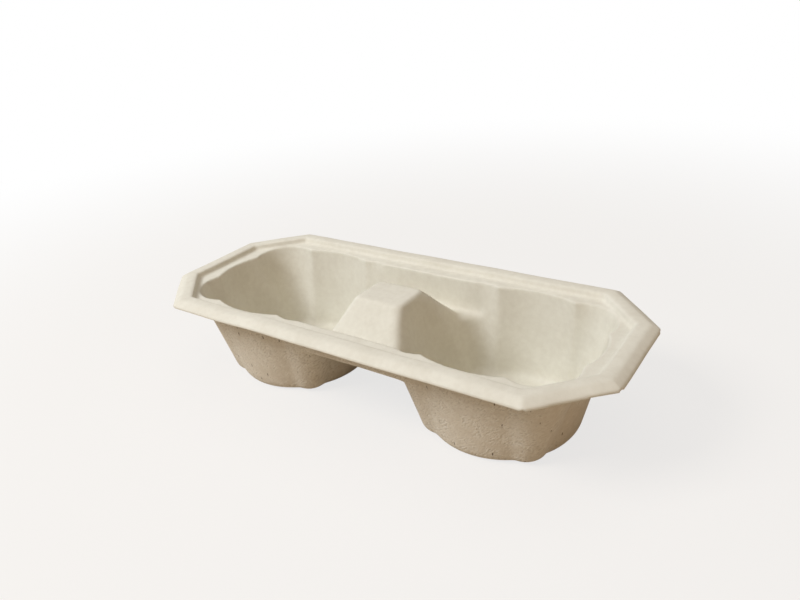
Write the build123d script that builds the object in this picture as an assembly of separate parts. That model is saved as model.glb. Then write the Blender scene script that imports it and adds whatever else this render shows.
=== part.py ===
from build123d import *
from math import atan2, degrees, hypot, sqrt
import os

# A two-cup carrier moulded in one sheet from plant fibre.
# The origin is at the middle of the underside, +X runs along the length and +Z is up.
# Sizes are in millimetres and angles in degrees.

# Sheet and overall size
WALL = 1.2
TRAY_LENGTH = 222.0
TRAY_WIDTH = 98.0
FLANGE_HEIGHT = 46.0
CORNER_CUT_ALONG = 24.0
CORNER_CUT_ACROSS = 25.5
CORNER_RADIUS = 4.0

# Rim section, from the outside in
LIP_WIDTH = 4.0
LIP_DROP = 1.8
LIP_RADIUS = 2.0
FLANGE_WIDTH = 5.0
STEP_DROP = 2.8
STEP_RUN = 0.8
STEP_ROUND = 0.9

# Cup wells, measured on the outside of the sheet, with a lobe at each corner
# The floor's round, the pocket's bevel and the hump's corners are those of the hollow side
WELL_SPACING = 110.4
WELL_BASE_RADIUS = 31.8
WELL_TOP_HALF_LENGTH = 43.0
WELL_TOP_HALF_WIDTH = 37.1
FLOOR_ROUND = 2.4
LOBE_OFFSET = 18.5
LOBE_LEAN = 6.0
LOBE_BASE_RADIUS = 7.9
LOBE_TOP_RADIUS = 16.5
LOBE_LIFT = 0.3
LOBE_BEVEL = 2.2
LEAST_LEDGE = 0.8

# Pocket between the wells, measured on the outside of the sheet
POCKET_HEIGHT = 26.8
POCKET_LENGTH = 62.0
POCKET_WIDTH = 66.0
POCKET_FLARE = 1.0
POCKET_BEVEL = 0.6

# Hollow hump that stands in the pocket and keeps the cups apart
HUMP_HEIGHT = 47.0
HUMP_TOP_LENGTH = 24.0
HUMP_TOP_WIDTH = 19.0
HUMP_FOOT_LENGTH = 42.0
HUMP_FOOT_WIDTH = 56.0
HUMP_CORNER = 3.0
HUMP_BEVEL = 0.9

# How far a cutting volume runs past the face that it opens
OVERRUN = 2.0

# Equal arcs that make up each oval section
OVAL_ARCS = 8

LEDGE_HEIGHT = FLANGE_HEIGHT - STEP_DROP
BRIM_HEIGHT = FLANGE_HEIGHT - LIP_DROP
STEP_INSET = LIP_WIDTH + FLANGE_WIDTH
POCKET_FLOOR = POCKET_HEIGHT + WALL
CUT_TOP = max(FLANGE_HEIGHT, HUMP_HEIGHT) + OVERRUN
LIP_TAPER = degrees(atan2(LIP_WIDTH, LIP_DROP))
STEP_TAPER = degrees(atan2(STEP_RUN, STEP_DROP))


def rim_outline(inset):
    """Eight-sided outline, moved in by the inset on every side."""
    slant = hypot(CORNER_CUT_ALONG, CORNER_CUT_ACROSS)
    spare = CORNER_CUT_ALONG + CORNER_CUT_ACROSS - slant
    cut_share = 1 - inset * spare / (CORNER_CUT_ALONG * CORNER_CUT_ACROSS)
    half_length = TRAY_LENGTH / 2 - inset
    half_width = TRAY_WIDTH / 2 - inset
    shoulder = half_length - CORNER_CUT_ALONG * cut_share
    end = half_width - CORNER_CUT_ACROSS * cut_share
    points = [
        (half_length, -end),
        (half_length, end),
        (shoulder, half_width),
        (-shoulder, half_width),
        (-half_length, end),
        (-half_length, -end),
        (-shoulder, -half_width),
        (shoulder, -half_width),
    ]
    return Polygon(*points, align=None)


def rim_plate():
    """Flange with its rounded lip, still closed across the middle."""
    crown = Pos(0, 0, BRIM_HEIGHT) * extrude(rim_outline(0), LIP_DROP, taper=LIP_TAPER)
    crown = fillet(crown.faces().sort_by(Axis.Z)[-1].edges(), LIP_RADIUS)
    brim = Pos(0, 0, BRIM_HEIGHT - WALL) * extrude(rim_outline(0), WALL)
    return crown + brim - Pos(0, 0, -WALL) * crown


def recess(grow):
    """Space above the ledge inside the flange, grown outwards and down."""
    space = extrude(rim_outline(STEP_INSET - grow), STEP_DROP + grow, taper=STEP_TAPER)
    return Pos(0, 0, FLANGE_HEIGHT) * Rot(180, 0, 0) * space


def rim():
    """Flange, step and ledge as one sheet with rounded corners."""
    sheet = rim_plate() + recess(WALL) - recess(0)
    opening = sheet.faces().sort_by(Axis.Z)[-1].inner_wires()
    sheet = fillet(opening.edges(), STEP_ROUND)
    return sheet & extrude(fillet(rim_outline(0).vertices(), CORNER_RADIUS), FLANGE_HEIGHT)


def flared(height, base, ledge):
    """Size at a height, straight from its value at the base to that at the ledge."""
    return base + (ledge - base) * height / LEDGE_HEIGHT


def oval(half_length, half_width):
    """Oval face with its outline in equal arcs, so that lofted walls meet arc by arc."""
    sweep = 360 / OVAL_ARCS
    starts = [sweep * n for n in range(OVAL_ARCS)]
    arcs = [EllipticalCenterArc((0, 0), half_length, half_width, a, arc_size=sweep) for a in starts]
    return make_face(arcs)


def well_section(height, inset):
    """Oval section of a well's body at a height."""
    length = flared(height, WELL_BASE_RADIUS, WELL_TOP_HALF_LENGTH) - inset
    width = flared(height, WELL_BASE_RADIUS, WELL_TOP_HALF_WIDTH) - inset
    return Pos(0, 0, height) * oval(length, width)


def lobe_section(height, inset):
    """Round section of a corner lobe, which leans away from the middle of its well."""
    offset = flared(height, LOBE_OFFSET, LOBE_OFFSET + LOBE_LEAN)
    radius = flared(height, LOBE_BASE_RADIUS, LOBE_TOP_RADIUS) - inset
    return Pos(offset, LOBE_OFFSET, height) * oval(radius, radius)


def well(inset, top):
    """One cup well with its four lobes, moved in from the outside and open to a height."""
    turn = FLOOR_ROUND + WALL - inset
    bend = turn * (1 - sqrt(0.5))
    rings = [
        well_section(inset, inset + turn),
        well_section(inset + bend, inset + bend),
        well_section(inset + turn, inset),
        well_section(top, inset),
    ]
    foot = LOBE_LIFT + inset
    lobe_rings = [
        lobe_section(foot, inset + LOBE_BEVEL),
        lobe_section(foot + LOBE_BEVEL, inset),
        lobe_section(top, inset),
    ]
    lobe = loft(lobe_rings, ruled=True)
    pair = lobe + mirror(lobe, Plane.XZ)
    return loft(rings, ruled=True) + pair + mirror(pair, Plane.YZ)


def wells(inset, top):
    """Both cup wells in place, kept inside the ledge."""
    one = well(inset, top)
    pair = Pos(-WELL_SPACING / 2, 0, 0) * one + Pos(WELL_SPACING / 2, 0, 0) * one
    limit = rim_outline(STEP_INSET + STEP_RUN + LEAST_LEDGE - WALL + inset)
    return pair & extrude(limit, top)


def wedge(foot, top, low, high):
    """Block with sloping sides, from a foot size to a top size given as length and width."""
    side = Polygon((-foot[0], low), (foot[0], low), (top[0], high), (-top[0], high), align=None)
    front = Polygon((-foot[1], low), (foot[1], low), (top[1], high), (-top[1], high), align=None)
    reach = 2 * max(foot + top)
    return extrude(Plane.XZ * side, reach, both=True) & extrude(Plane.YZ * front, reach, both=True)


def pocket(inset, top):
    """Shallow pocket that joins the two wells."""
    flare = POCKET_FLARE * (top - POCKET_HEIGHT) / (LEDGE_HEIGHT - POCKET_HEIGHT)
    length = POCKET_LENGTH / 2 - inset
    width = POCKET_WIDTH / 2 - inset
    body = wedge((length, width), (length, width + flare), POCKET_HEIGHT + inset, top)
    return chamfer(body.faces().sort_by(Axis.Z)[0].edges(), POCKET_BEVEL + WALL - inset)


def hump_size(height, inset):
    """Half length and half width of the hump at a height, moved in square to its faces."""
    depth = HUMP_HEIGHT - height
    rise = HUMP_HEIGHT - POCKET_FLOOR
    side_run = (HUMP_FOOT_LENGTH - HUMP_TOP_LENGTH) / 2 / rise
    face_run = (HUMP_FOOT_WIDTH - HUMP_TOP_WIDTH) / 2 / rise
    length = HUMP_TOP_LENGTH / 2 + depth * side_run - inset * hypot(1, side_run)
    width = HUMP_TOP_WIDTH / 2 + depth * face_run - inset * hypot(1, face_run)
    return length, width


def hump(inset, foot):
    """Hump from a foot height up to its flat top, with rounded corners."""
    top = HUMP_HEIGHT - inset
    body = wedge(hump_size(foot, inset), hump_size(top, inset), foot, top)
    level = body.edges().filter_by(Plane.XY)
    return fillet(body.edges() - level, HUMP_CORNER + WALL - inset)


def carrier_tray():
    """The whole carrier as one moulded sheet."""
    hump_body = hump(0, POCKET_HEIGHT)
    hump_body = chamfer(hump_body.faces().sort_by(Axis.Z)[-1].edges(), HUMP_BEVEL)
    hump_hollow = hump(WALL, POCKET_HEIGHT - OVERRUN) - wells(0, CUT_TOP)
    sheet = rim() + wells(0, LEDGE_HEIGHT) + pocket(0, LEDGE_HEIGHT) + hump_body
    sheet -= pocket(WALL, LEDGE_HEIGHT + OVERRUN) - hump_body
    sheet -= wells(WALL, CUT_TOP)
    return sheet - hump_hollow


os.makedirs("parts", exist_ok=True)
export_step(carrier_tray(), "parts/carrier_tray.step")
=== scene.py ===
"""A cup carrier moulded from plant fibre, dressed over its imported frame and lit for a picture."""

import logging
import math
from dataclasses import dataclass
from enum import Enum
from typing import Dict, Mapping, Tuple, Union

import bpy
import numpy as np
from mathutils import Matrix, Vector, noise


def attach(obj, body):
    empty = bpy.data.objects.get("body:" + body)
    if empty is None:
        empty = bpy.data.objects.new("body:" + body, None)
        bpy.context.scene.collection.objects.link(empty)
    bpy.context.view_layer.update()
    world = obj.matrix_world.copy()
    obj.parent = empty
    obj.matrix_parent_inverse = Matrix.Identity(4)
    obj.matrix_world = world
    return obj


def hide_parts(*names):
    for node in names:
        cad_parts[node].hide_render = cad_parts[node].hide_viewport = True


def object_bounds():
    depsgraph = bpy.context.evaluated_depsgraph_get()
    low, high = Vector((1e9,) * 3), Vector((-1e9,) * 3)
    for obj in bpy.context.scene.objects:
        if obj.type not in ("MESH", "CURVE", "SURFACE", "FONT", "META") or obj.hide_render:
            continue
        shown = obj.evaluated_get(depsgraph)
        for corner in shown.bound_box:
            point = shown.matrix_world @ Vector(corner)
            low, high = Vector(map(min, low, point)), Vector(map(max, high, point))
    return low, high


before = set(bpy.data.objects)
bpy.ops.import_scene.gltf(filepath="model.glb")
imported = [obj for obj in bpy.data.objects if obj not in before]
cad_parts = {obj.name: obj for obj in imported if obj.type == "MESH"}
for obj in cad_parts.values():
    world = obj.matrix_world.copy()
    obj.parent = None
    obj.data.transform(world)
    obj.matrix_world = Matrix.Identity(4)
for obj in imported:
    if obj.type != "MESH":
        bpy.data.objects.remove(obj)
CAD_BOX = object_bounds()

LOG = logging.getLogger("carrier")
MM = 0.001
SCREEN_SIDE = "screen_side"

# A mix node has sockets of the same name for each type, so those for colour go by number
MIX_A, MIX_B, MIX_OUT = 6, 7, 2

Span = Tuple[float, float]
Triple = Tuple[float, float, float]
Colour = Tuple[float, float, float, float]
Input = Union[bpy.types.NodeSocket, float, Triple, Colour]


def linear(hex_colour: str) -> Colour:
    """Turn an sRGB hex colour into the linear colour that a socket takes.

    Args:
        hex_colour: Six hex digits, with or without a leading mark.

    Returns:
        Linear red, green and blue, and full opacity.
    """
    digits = hex_colour.lstrip("#")
    shares = [int(digits[n:n + 2], 16) / 255 for n in (0, 2, 4)]
    # These numbers are the sRGB standard's own
    channels = [s / 12.92 if s <= 0.04045 else ((s + 0.055) / 1.055) ** 2.4 for s in shares]
    return (channels[0], channels[1], channels[2], 1.0)


def add_node(
    tree: bpy.types.NodeTree, kind: str, inputs: Mapping[Union[str, int], Input], **settings: object
) -> bpy.types.Node:
    """Add one node to a tree, with its settings, values and links.

    Args:
        tree: Tree that gets the node.
        kind: Blender's name for the kind of node.
        inputs: For each input, the socket that feeds it or the value that it holds.
        **settings: Properties of the node itself.

    Returns:
        The new node.
    """
    node = tree.nodes.new(kind)
    for name, value in settings.items():
        setattr(node, name, value)
    for key, value in inputs.items():
        if isinstance(value, bpy.types.NodeSocket):
            tree.links.new(value, node.inputs[key])
        else:
            node.inputs[key].default_value = value
    return node


def shown_rays(tree: bpy.types.NodeTree) -> bpy.types.NodeSocket:
    """Add the test of rays that show a surface to the camera, to gloss or to glass.

    Args:
        tree: Tree that gets the nodes.

    Returns:
        Socket that is one for those rays and nought for lighting.
    """
    rays = add_node(tree, "ShaderNodeLightPath", {}).outputs
    either = add_node(
        tree, "ShaderNodeMath", {0: rays["Is Camera Ray"], 1: rays["Is Glossy Ray"]},
        operation="MAXIMUM",
    ).outputs[0]
    return add_node(
        tree, "ShaderNodeMath", {0: either, 1: rays["Is Transmission Ray"]}, operation="MAXIMUM"
    ).outputs[0]


class PressFace(Enum):
    """Which side of the sheet a tone belongs to."""

    POLISHED = "pressed against the polished tool"
    SCREEN = "drawn on to the wire screen"


@dataclass(frozen=True)
class FibreTone:
    """Colours of one side of the moulded sheet."""

    pale: str
    deep: str


@dataclass(frozen=True)
class Grain:
    """Soft blotches in the fibre: their typical width and the finer layers in them."""

    width_mm: float
    layers: float


@dataclass(frozen=True)
class MouldedFibre:
    """Sugar cane fibre, drawn wet on to a wire screen and then pressed hot."""

    # To the eye the pressed side is smooth, matt and pale, with faint clouds of tone. The screen
    # side is rougher and browner, with the print of the wire and torn slits, and a little darker as
    # painted shade of its rough surface.
    polished: FibreTone = FibreTone(pale="#DEDBCD", deep="#D6D2C3")
    screen: FibreTone = FibreTone(pale="#D7CFBE", deep="#C8BDA9")
    # Painted shade in the grooves of the wire's print
    groove_shade_colour: str = "#9C8E76"
    # Painted shade in the hollows of the torn slits
    slit_shade_colour: str = "#5E4C38"

    # Dry fibre has the index of cellulose and hardly any gloss, a little more on some clumps
    ior: float = 1.47
    specular: float = 0.3
    roughness: float = 0.88
    roughness_spread: float = 0.06

    # Clouds, clumps and fibres. A real fibre is far finer, and is drawn coarser so that it shows.
    cloud: Grain = Grain(16.0, 3.0)
    flock: Grain = Grain(2.6, 3.0)
    fibre: Grain = Grain(0.9, 2.0)
    fibre_depth_mm: float = 0.10
    fibre_strength: float = 0.25
    grain_roughness: float = 0.55
    noise_span: Span = (0.3, 0.7)
    mottle_span: Span = (0.75, 1.25)

    # Print of the woven wire, whose grooves are darkened as painted shade. A real screen's wire is
    # finer, and its print is drawn coarser so that it shows. It fades out below the rim, and where
    # fibre lies thick over it.
    strand_width_mm: float = 0.75
    strand_length_mm: float = 1.6
    strand_depth_mm: float = 0.15
    strand_strength: float = 1.0
    strand_shade: float = 0.4
    strand_layers: float = 1.0
    strand_roughness: float = 0.5
    print_top_mm: float = 41.0
    print_fade_mm: float = 3.0
    bare_span: Span = (0.2, 0.7)
    bare_least: float = 0.25

    # Torn slits, squeezed across and drawn out upwards, their hollows darkened as painted shade.
    # Their edge is a span of distances from the middle, as shares of the spacing.
    slit_spacing_mm: float = 5.5
    slit_chance: float = 0.35
    slit_waver_mm: float = 1.4
    slit_squeeze: Triple = (2.4, 2.4, 0.55)
    slit_edge: Span = (0.14, 0.06)
    slit_depth_mm: float = 0.25
    slit_strength: float = 0.6

    def tone(self, face: PressFace) -> FibreTone:
        """Colours of one side of the sheet."""
        return self.polished if face is PressFace.POLISHED else self.screen

    def material(self) -> bpy.types.Material:
        """Build the fibre's material.

        Returns:
            The material, with its colour, roughness and relief from nodes.
        """
        material = bpy.data.materials.new("moulded_cane_fibre")
        material.use_nodes = True
        tree = material.node_tree
        tree.nodes.clear()
        place = add_node(tree, "ShaderNodeTexCoord", {}).outputs
        spot = place["Object"]
        side = add_node(tree, "ShaderNodeAttribute", {}, attribute_name=SCREEN_SIDE)
        screen = side.outputs["Fac"]

        cloud, flock, fibre = (
            add_node(
                tree, "ShaderNodeTexNoise",
                {"Vector": spot, "Scale": 1 / (grain.width_mm * MM), "Detail": grain.layers,
                 "Roughness": self.grain_roughness},
            ).outputs["Fac"]
            for grain in (self.cloud, self.flock, self.fibre)
        )
        mottle = add_node(tree, "ShaderNodeMath", {0: cloud, 1: flock}, operation="ADD").outputs[0]
        mottle = add_node(
            tree, "ShaderNodeMapRange",
            {"Value": mottle, "From Min": self.mottle_span[0], "From Max": self.mottle_span[1]},
        ).outputs["Result"]
        polished_tone, screen_tone_and_shade = (
            add_node(
                tree, "ShaderNodeMix",
                {"Factor": mottle, MIX_A: linear(tone.deep), MIX_B: linear(tone.pale)},
                data_type="RGBA",
            ).outputs[MIX_OUT]
            for tone in map(self.tone, PressFace)
        )

        printed = self.printed_side(tree, spot, screen)
        wire = self.wire_print(tree, spot, place["Normal"], mottle)
        wire = add_node(
            tree, "ShaderNodeMath", {0: wire, 1: printed}, operation="MULTIPLY"
        ).outputs[0]
        # Painted shade: the grooves of the wire's print darken towards the groove shade colour
        groove_shade = add_node(
            tree, "ShaderNodeMapRange",
            {"Value": wire, "From Min": 0.0, "From Max": -1.0, "To Max": self.strand_shade},
        ).outputs["Result"]
        slits = self.slits(tree, spot, printed)
        colour = polished_tone
        for share, over in (
            # the screen side's browner tone, a little darker as painted shade
            (screen, screen_tone_and_shade),
            # painted shade in the grooves of the wire's print
            (groove_shade, linear(self.groove_shade_colour)),
            # painted shade in the slits
            (slits, linear(self.slit_shade_colour)),
        ):
            colour = add_node(
                tree, "ShaderNodeMix", {"Factor": share, MIX_A: colour, MIX_B: over},
                data_type="RGBA",
            ).outputs[MIX_OUT]

        relief: Dict[str, Input] = {}
        for height, depth_mm, strength, sunk in (
            (wire, self.strand_depth_mm / 2, self.strand_strength, False),
            (fibre, self.fibre_depth_mm, self.fibre_strength, False),
            (slits, self.slit_depth_mm, self.slit_strength, True),
        ):
            bump = add_node(
                tree, "ShaderNodeBump",
                {"Height": height, "Distance": depth_mm * MM, "Strength": strength, **relief},
                invert=sunk,
            )
            relief = {"Normal": bump.outputs[0]}
        rough = add_node(
            tree, "ShaderNodeMapRange",
            {"Value": flock, "From Min": self.noise_span[0], "From Max": self.noise_span[1],
             "To Min": self.roughness - self.roughness_spread,
             "To Max": self.roughness + self.roughness_spread},
        ).outputs["Result"]
        shader = add_node(
            tree, "ShaderNodeBsdfPrincipled",
            {"Base Color": colour, "Roughness": rough, "IOR": self.ior,
             "Specular IOR Level": self.specular, **relief},
        )
        add_node(tree, "ShaderNodeOutputMaterial", {"Surface": shader.outputs[0]})
        return material

    def printed_side(
        self, tree: bpy.types.NodeTree, spot: bpy.types.NodeSocket, screen: bpy.types.NodeSocket
    ) -> bpy.types.NodeSocket:
        """Where the wire's print shows: the screen side below the rim, which is pressed smooth.

        Args:
            tree: Tree that gets the nodes.
            spot: Place on the sheet, in metres.
            screen: One on the screen side, nought on the polished side.

        Returns:
            Socket that is one where the print shows and fades to nought at the rim.
        """
        height = add_node(tree, "ShaderNodeSeparateXYZ", {0: spot}).outputs["Z"]
        low = add_node(
            tree, "ShaderNodeMapRange",
            {"Value": height, "From Min": self.print_top_mm * MM,
             "From Max": (self.print_top_mm - self.print_fade_mm) * MM},
        ).outputs["Result"]
        return add_node(
            tree, "ShaderNodeMath", {0: low, 1: screen}, operation="MULTIPLY"
        ).outputs[0]

    def wire_print(
        self,
        tree: bpy.types.NodeTree,
        spot: bpy.types.NodeSocket,
        normal: bpy.types.NodeSocket,
        mottle: bpy.types.NodeSocket,
    ) -> bpy.types.NodeSocket:
        """Short slanting strokes that the woven wire leaves, broken up where fibre lies over them.

        Args:
            tree: Tree that gets the nodes.
            spot: Place on the sheet, in metres.
            normal: Direction that the sheet faces there.
            mottle: Noise of the clumps and clouds of fibre, from nought to one.

        Returns:
            Socket with the height of the print, from about minus one to one.
        """
        axes = add_node(tree, "ShaderNodeSeparateXYZ", {0: spot}).outputs
        faces = add_node(tree, "ShaderNodeSeparateXYZ", {0: normal}).outputs
        sizes = {"SUBTRACT": self.strand_width_mm, "ADD": self.strand_length_mm}
        height: Input = 0.0
        for facing, (first, second) in {"X": "YZ", "Y": "XZ", "Z": "XY"}.items():
            slants: Dict[int, Input] = {}
            for axis, (step, size_mm) in enumerate(sizes.items()):
                slant = add_node(
                    tree, "ShaderNodeMath", {0: axes[first], 1: axes[second]}, operation=step
                ).outputs[0]
                slants[axis] = add_node(
                    tree, "ShaderNodeMath", {0: slant, 1: 1 / (math.sqrt(2) * size_mm * MM)},
                    operation="MULTIPLY",
                ).outputs[0]
            lie = add_node(tree, "ShaderNodeCombineXYZ", slants).outputs[0]
            strand = add_node(
                tree, "ShaderNodeTexNoise",
                {"Vector": lie, "Scale": 1.0, "Detail": self.strand_layers,
                 "Roughness": self.strand_roughness},
                noise_dimensions="2D",
            ).outputs["Fac"]
            strand = add_node(
                tree, "ShaderNodeMapRange",
                {"Value": strand, "From Min": self.noise_span[0], "From Max": self.noise_span[1],
                 "To Min": -1.0, "To Max": 1.0},
            ).outputs["Result"]
            share = add_node(
                tree, "ShaderNodeMath", {0: faces[facing]}, operation="ABSOLUTE"
            ).outputs[0]
            height = add_node(
                tree, "ShaderNodeMath", {0: strand, 1: share, 2: height}, operation="MULTIPLY_ADD"
            ).outputs[0]
        bare = add_node(
            tree, "ShaderNodeMapRange",
            {"Value": mottle, "From Min": self.bare_span[0], "From Max": self.bare_span[1],
             "To Min": self.bare_least, "To Max": 1.0},
        ).outputs["Result"]
        return add_node(
            tree, "ShaderNodeMath", {0: height, 1: bare}, operation="MULTIPLY"
        ).outputs[0]

    def slits(
        self, tree: bpy.types.NodeTree, spot: bpy.types.NodeSocket, printed: bpy.types.NodeSocket
    ) -> bpy.types.NodeSocket:
        """Scattered torn slits on the screen side.

        Args:
            tree: Tree that gets the nodes.
            spot: Place on the sheet, in metres.
            printed: One where the wire's print shows, nought elsewhere.

        Returns:
            Socket that is one in a slit and nought elsewhere.
        """
        waver = add_node(
            tree, "ShaderNodeTexNoise", {"Vector": spot, "Scale": 1 / (self.flock.width_mm * MM)}
        ).outputs["Color"]
        reach = self.slit_waver_mm * MM
        moved = add_node(
            tree, "ShaderNodeVectorMath", {0: waver, 1: (reach, reach, reach), 2: spot},
            operation="MULTIPLY_ADD",
        ).outputs[0]
        squeezed = add_node(
            tree, "ShaderNodeMapping", {"Vector": moved, "Scale": self.slit_squeeze}
        ).outputs[0]
        cells = add_node(
            tree, "ShaderNodeTexVoronoi",
            {"Vector": squeezed, "Scale": 1 / (self.slit_spacing_mm * MM)}, feature="F1",
        ).outputs
        near = add_node(
            tree, "ShaderNodeMapRange",
            {"Value": cells["Distance"], "From Min": self.slit_edge[0],
             "From Max": self.slit_edge[1]},
        ).outputs["Result"]
        chance = add_node(tree, "ShaderNodeSeparateXYZ", {0: cells["Color"]}).outputs["X"]
        few = add_node(
            tree, "ShaderNodeMath", {0: chance, 1: self.slit_chance}, operation="LESS_THAN"
        ).outputs[0]
        mark = add_node(tree, "ShaderNodeMath", {0: near, 1: few}, operation="MULTIPLY").outputs[0]
        return add_node(
            tree, "ShaderNodeMath", {0: mark, 1: printed}, operation="MULTIPLY"
        ).outputs[0]


@dataclass
class MouldedTray:
    """The whole carrier: one pressed sheet with wells, hump and stepped rim."""

    node_name: str = "carrier_tray"
    piece_name: str = "moulded_tray"
    slot_name: str = "moulded_fibre"

    # Cut corners of the rim and distance between the wells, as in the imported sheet
    corner_along: float = 24.0 * MM
    corner_across: float = 25.5 * MM
    well_spacing: float = 110.4 * MM

    # Cells of the fine mesh, and the triangles that are left of it at the end
    cell: float = 0.6 * MM
    most_triangles: int = 180000

    # Rounding of the creases: passes in each zone, how far towards its neighbours a point goes
    # in a pass, and where the zones lie
    wall_passes: int = 40
    foot_passes: int = 5
    rim_passes: int = 6
    edge_passes: int = 2
    pull: float = 0.5
    foot_height: float = 9.0 * MM
    rim_depth: float = 5.0 * MM
    rim_blend: float = 3.0 * MM
    edge_width: float = 2.0 * MM

    # Unevenness of the dried sheet, in waves of this size
    sway_size: float = 28.0 * MM
    sway: float = 0.25 * MM
    sway_seed: int = 11

    # Extra curl of the rim's outer edge, on what lies above a height
    lip_width: float = 4.5 * MM
    lip_sag: float = 0.4 * MM
    lip_under: float = 42.0 * MM

    # Telling the sides of the sheet apart: facing up or down counts more than in or out
    upward_weight: float = 2.0
    side_blend: float = 0.3

    def build(self) -> bpy.types.Object:
        """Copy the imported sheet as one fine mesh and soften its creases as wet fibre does.

        Returns:
            The tray's piece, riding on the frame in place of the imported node.
        """
        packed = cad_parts[self.node_name]
        draft = bpy.data.objects.new("draft", packed.data.copy())
        bpy.context.scene.collection.objects.link(draft)
        remesh = draft.modifiers.new("cells", "REMESH")
        remesh.mode = "VOXEL"
        remesh.voxel_size = self.cell
        mesh = self.evaluated(draft)
        self.soften(mesh)
        self.bend_lip(mesh)
        fine = bpy.data.objects.new("fine", mesh)
        bpy.context.scene.collection.objects.link(fine)
        thin = fine.modifiers.new("thin", "DECIMATE")
        # The fine mesh has four-sided faces, so it has two triangles to a face
        thin.ratio = min(1.0, self.most_triangles / (2 * len(mesh.polygons)))
        thin.use_collapse_triangulate = True
        mesh = self.evaluated(fine)
        for scrap in (draft, fine):
            bpy.data.objects.remove(scrap)
        self.mark_sides(mesh)
        mesh.name = self.piece_name
        mesh.polygons.foreach_set("use_smooth", np.ones(len(mesh.polygons), bool))
        piece = bpy.data.objects.new(self.piece_name, mesh)
        bpy.context.scene.collection.objects.link(piece)
        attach(piece, "root")
        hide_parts(self.node_name)
        return piece

    def evaluated(self, piece: bpy.types.Object) -> bpy.types.Mesh:
        """Mesh of an object with its modifiers applied."""
        graph = bpy.context.evaluated_depsgraph_get()
        return bpy.data.meshes.new_from_object(piece.evaluated_get(graph))

    def points(self, mesh: bpy.types.Mesh) -> np.ndarray:
        """Read the points of a mesh.

        Args:
            mesh: Mesh of the sheet.

        Returns:
            Places of the points, one to a row.
        """
        spots = np.empty(len(mesh.vertices) * 3)
        mesh.vertices.foreach_get("co", spots)
        return spots.reshape(-1, 3)

    def move_points(self, mesh: bpy.types.Mesh, spots: np.ndarray) -> None:
        """Put the points of a mesh at new places."""
        mesh.vertices.foreach_set("co", spots.ravel())
        mesh.update()

    def soften(self, mesh: bpy.types.Mesh) -> None:
        """Round the creases, most on the walls and least on the rim, and let the sheet sway.

        Args:
            mesh: Fine mesh of the sheet, which is changed in place.
        """
        spots = self.points(mesh)
        count = len(spots)
        ends = np.empty(len(mesh.edges) * 2, np.int32)
        mesh.edges.foreach_get("vertices", ends)
        ends = ends.reshape(-1, 2)
        source = np.concatenate((ends[:, 0], ends[:, 1]))
        target = np.concatenate((ends[:, 1], ends[:, 0]))
        links = np.bincount(source, minlength=count).clip(1)
        rim_top = spots[:, 2].max() - self.rim_depth
        rim_share = np.clip((spots[:, 2] - rim_top + self.rim_blend) / self.rim_blend, 0, 1)
        foot_share = np.clip(1 - spots[:, 2] / self.foot_height, 0, 1)
        # The edge's zone is full over its width and fades out over as much again
        edge_share = np.clip(2 - self.inset(spots) / self.edge_width, 0, 1)
        zones = (
            (self.rim_passes, rim_share),
            (self.foot_passes, foot_share),
            (self.edge_passes, edge_share),
        )
        for turn in range(self.wall_passes):
            pull = np.full(count, self.pull)
            for passes, share in zones:
                if turn >= passes:
                    pull *= 1 - share
            for axis in range(3):
                around = np.bincount(source, weights=spots[target, axis], minlength=count) / links
                spots[:, axis] += pull * (around - spots[:, axis])
        noise.seed_set(self.sway_seed)
        drift = [noise.noise_vector(Vector(spot) / self.sway_size) for spot in spots]
        height_share = np.clip(spots[:, 2] / rim_top, 0, 1)[:, None]
        spots += np.array(drift) * self.sway * height_share
        self.move_points(mesh, spots)

    def inset(self, spots: np.ndarray) -> np.ndarray:
        """How far points lie inside the eight-sided outline of the rim.

        Args:
            spots: Points, one to a row.

        Returns:
            Shortest distance of each point to a side of the outline, seen from above.
        """
        along = CAD_BOX[1][0] - np.abs(spots[:, 0])
        across = CAD_BOX[1][1] - np.abs(spots[:, 1])
        slant = along / self.corner_along + across / self.corner_across - 1
        slant /= math.hypot(1 / self.corner_along, 1 / self.corner_across)
        return np.minimum(np.minimum(along, across), slant)

    def bend_lip(self, mesh: bpy.types.Mesh) -> None:
        """Curl the outer edge of the rim down a little further, as the pressed sheet does.

        Args:
            mesh: Fine mesh of the sheet, which is changed in place.
        """
        spots = self.points(mesh)
        curl = np.clip(1 - self.inset(spots) / self.lip_width, 0, 1) ** 2
        spots[:, 2] -= self.lip_sag * curl * (spots[:, 2] > self.lip_under)
        self.move_points(mesh, spots)

    def mark_sides(self, mesh: bpy.types.Mesh) -> None:
        """Mark each point of the sheet with its side: one outside and underneath, nought on top.

        Args:
            mesh: Mesh of the sheet, which gets the mark as an attribute.
        """
        spots = self.points(mesh)
        normals = np.empty(spots.size)
        mesh.vertex_normals.foreach_get("vector", normals)
        normals = normals.reshape(-1, 3)
        away = spots[:, :2].copy()
        away[:, 0] -= np.sign(spots[:, 0]) * self.well_spacing / 2
        away /= np.linalg.norm(away, axis=1).clip(MM)[:, None]
        outward = (normals[:, :2] * away).sum(axis=1) - self.upward_weight * normals[:, 2]
        share = np.clip(outward / (2 * self.side_blend) + 0.5, 0, 1)
        # The rim's outer edge and the rounding under it take the pale polished tone, as painted
        # light against the shade under the lip
        share[self.inset(spots) < self.edge_width] = 0
        mark = mesh.attributes.new(SCREEN_SIDE, "FLOAT", "POINT")
        mark.data.foreach_set("value", share)

    def dress(self, piece: bpy.types.Object, finish: MouldedFibre) -> None:
        """Give the tray its fibre finish."""
        piece.data.materials.clear()
        piece.data.materials.append(finish.material())


class LampRole(Enum):
    """What each lamp of the studio does."""

    KEY = "key"
    FILL = "fill"
    SKY = "sky"


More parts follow.
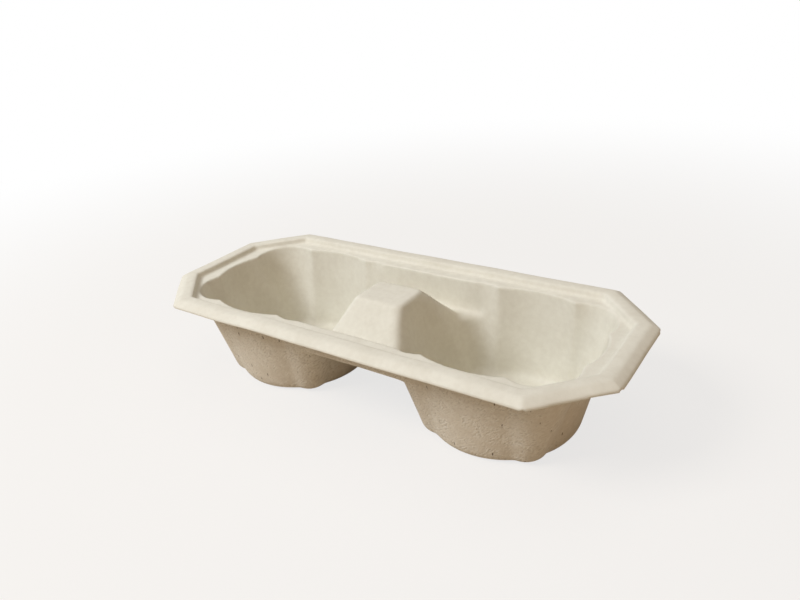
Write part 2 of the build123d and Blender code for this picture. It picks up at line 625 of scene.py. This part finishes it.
@dataclass(frozen=True)
class Lamp:
    """A large soft lamp that faces the carrier."""

    role: LampRole
    place: Triple
    width: float
    watts: float
    colour: str = "#FFFFFF"

    def hang(self, aim: Vector) -> None:
        """Hang the lamp in the scene.

        Args:
            aim: Point that the lamp faces.
        """
        data = bpy.data.lights.new(f"{self.role.value}_lamp", "AREA")
        data.shape = "SQUARE"
        data.size = self.width
        data.energy = self.watts
        data.color = linear(self.colour)[:3]
        lamp = bpy.data.objects.new(data.name, data)
        lamp.location = self.place
        lamp.rotation_euler = (aim - lamp.location).to_track_quat("-Z", "Y").to_euler()
        bpy.context.scene.collection.objects.link(lamp)


@dataclass(frozen=True)
class PaintedBoard:
    """Board with matt pale paint, rolled on evenly."""

    # To the eye it is plain and has no gloss. It keeps a faint shadow near the carrier, and with
    # distance, in metres, it fades to the white of the surroundings.
    colour: str = "#CFC4B4"
    glow: float = 0.75
    fade_start: float = 0.15
    fade_end: float = 0.6

    def material(self) -> bpy.types.Material:
        """Build the board's material.

        Returns:
            The material, which lights the carrier as paint does and looks nearly white.
        """
        material = bpy.data.materials.new("pale_painted_board")
        material.use_nodes = True
        tree = material.node_tree
        tree.nodes.clear()
        place = add_node(tree, "ShaderNodeTexCoord", {}).outputs["Object"]
        reach = add_node(
            tree, "ShaderNodeVectorMath", {0: place}, operation="LENGTH"
        ).outputs["Value"]
        fade = add_node(
            tree, "ShaderNodeMapRange",
            {"Value": reach, "From Min": self.fade_start, "From Max": self.fade_end,
             "To Min": self.glow, "To Max": 1.0},
            interpolation_type="SMOOTHSTEP",
        ).outputs["Result"]
        glow = add_node(
            tree, "ShaderNodeMath", {0: shown_rays(tree), 1: fade}, operation="MULTIPLY"
        ).outputs[0]
        paint = add_node(tree, "ShaderNodeBsdfDiffuse", {"Color": linear(self.colour)})
        white = add_node(tree, "ShaderNodeEmission", {"Strength": 1.0})
        mixed = add_node(
            tree, "ShaderNodeMixShader", {0: glow, 1: paint.outputs[0], 2: white.outputs[0]}
        )
        add_node(tree, "ShaderNodeOutputMaterial", {"Surface": mixed.outputs[0]})
        return material


@dataclass
class Studio:
    """Plain pale floor, soft lamps and white surroundings."""

    # The floor lies a hair under the wells, so that their undersides don't flicker with it
    floor_half: float = 12.0
    floor_height: float = -0.1 * MM
    board: PaintedBoard = PaintedBoard()
    ambient: float = 0.17
    ambient_colour: str = "#FFE2C4"
    shown_colour: str = "#FFFFFF"
    aim: Triple = (0.0, 0.0, 0.02)
    lamps: Tuple[Lamp, ...] = (
        Lamp(LampRole.KEY, (-0.54, -0.70, 0.88), 0.5, 13.2, "#F6F9FF"),
        Lamp(LampRole.FILL, (0.95, -0.40, 0.5), 0.8, 1.6, "#FFDCB4"),
        Lamp(LampRole.SKY, (0.0, 0.15, 1.2), 1.2, 4.2),
    )

    def build(self) -> None:
        """Lay the floor, hang the lamps and set the surroundings."""
        self.lay_floor()
        for lamp in self.lamps:
            lamp.hang(Vector(self.aim))
            LOG.info("lamp %s", lamp.role.value)
        self.surround()

    def lay_floor(self) -> None:
        """Lay the floor that the carrier stands on."""
        turns = ((-1, -1), (1, -1), (1, 1), (-1, 1))
        corners = [(x * self.floor_half, y * self.floor_half, self.floor_height) for x, y in turns]
        mesh = bpy.data.meshes.new("floor")
        mesh.from_pydata(corners, [], [(0, 1, 2, 3)])
        mesh.materials.append(self.board.material())
        floor = bpy.data.objects.new("floor", mesh)
        bpy.context.scene.collection.objects.link(floor)

    def surround(self) -> None:
        """Make the surroundings white to look at and softer as light."""
        world = bpy.data.worlds.new("surroundings")
        world.use_nodes = True
        tree = world.node_tree
        tree.nodes.clear()
        shown = shown_rays(tree)
        strength = add_node(
            tree, "ShaderNodeMapRange", {"Value": shown, "To Min": self.ambient, "To Max": 1.0}
        ).outputs["Result"]
        colour = add_node(
            tree, "ShaderNodeMix",
            {"Factor": shown, MIX_A: linear(self.ambient_colour), MIX_B: linear(self.shown_colour)},
            data_type="RGBA",
        ).outputs[MIX_OUT]
        sky = add_node(tree, "ShaderNodeBackground", {"Color": colour, "Strength": strength})
        add_node(tree, "ShaderNodeOutputWorld", {"Surface": sky.outputs[0]})
        bpy.context.scene.world = world


@dataclass(frozen=True)
class PhotoCamera:
    """Camera at the photograph's viewing angle."""

    # Place in metres, angles in degrees, focal length and width in the photograph's pixels
    place: Triple = (0.1676, -0.2210, 0.1777)
    yaw: float = -36.19
    pitch: float = 25.89
    roll: float = -4.87
    focal_pixels: float = 697.5
    width_pixels: float = 800.0
    sensor_mm: float = 36.0
    nearest: float = 10.0 * MM

    def build(self) -> None:
        """Set up the camera and make it the scene's own."""
        yaw, pitch, roll = (math.radians(a) for a in (self.yaw, self.pitch, self.roll))
        ahead = Vector(
            (math.sin(yaw) * math.cos(pitch), math.cos(yaw) * math.cos(pitch), -math.sin(pitch))
        )
        right = Vector((math.cos(yaw), -math.sin(yaw), 0.0))
        up = right.cross(ahead)
        across = math.cos(roll) * right + math.sin(roll) * up
        upright = math.cos(roll) * up - math.sin(roll) * right
        turn = Matrix((across, upright, -ahead)).transposed()
        data = bpy.data.cameras.new("photo_camera")
        data.sensor_fit = "HORIZONTAL"
        data.sensor_width = self.sensor_mm
        data.lens = self.focal_pixels / self.width_pixels * self.sensor_mm
        data.clip_start = self.nearest
        camera = bpy.data.objects.new("photo_camera", data)
        camera.matrix_world = Matrix.Translation(self.place) @ turn.to_4x4()
        bpy.context.scene.collection.objects.link(camera)
        bpy.context.scene.camera = camera


def main() -> None:
    """Build the camera, the tray and the studio in order."""
    logging.basicConfig(level=logging.INFO, format="%(name)s: %(message)s")
    bpy.context.scene.view_settings.view_transform = "Standard"
    PhotoCamera().build()
    tray = MouldedTray()
    piece = tray.build()
    tray.dress(piece, MouldedFibre())
    LOG.info("piece %s with %d triangles", piece.name, len(piece.data.polygons))
    Studio().build()


if __name__ == "__main__":
    main()
